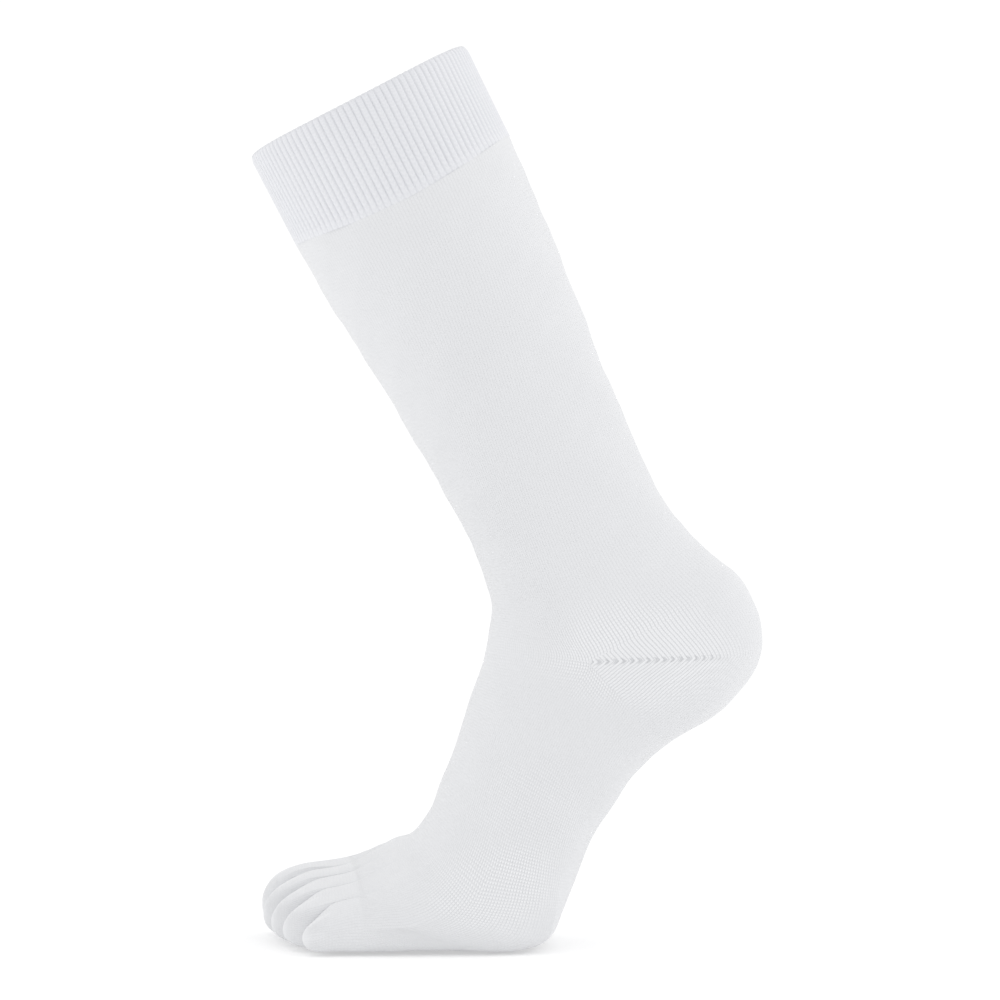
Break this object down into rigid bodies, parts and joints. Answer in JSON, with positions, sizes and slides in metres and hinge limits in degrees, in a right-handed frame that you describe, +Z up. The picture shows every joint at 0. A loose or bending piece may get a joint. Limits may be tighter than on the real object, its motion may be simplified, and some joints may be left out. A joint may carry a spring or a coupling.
{
  "type": "toe sock",
  "caption": "White knitted toe sock for the left foot, mid-calf, with ribbed cuff, gore heel and a pocket for each toe, in its worn form on tiptoe.",
  "frame": {"origin": "centre of the leg opening, in the plane of the rim in front and behind", "axes": "+Z up with the sock as worn on tiptoe, -X to the toes, -Y to the little toe's side"},
  "size_m": [0.21, 0.0932, 0.3673],
  "materials": {
    "rib_knit": "matt one-by-one rib, white with a cool tint",
    "plain_knit": "matt fine cotton jersey, white with a cool tint",
    "heel_knit": "matt fine cotton jersey, white with a cool tint",
    "toe_knit": "matt fine cotton jersey, white with a cool tint"
  },
  "bodies": {
    "root": {"cuff": "rib_knit", "leg": "plain_knit", "heel": "heel_knit", "foot": "plain_knit", "big_toe": "toe_knit", "second_toe": "toe_knit", "third_toe": "toe_knit", "fourth_toe": "toe_knit", "little_toe": "toe_knit"}
  },
  "joints": []
}
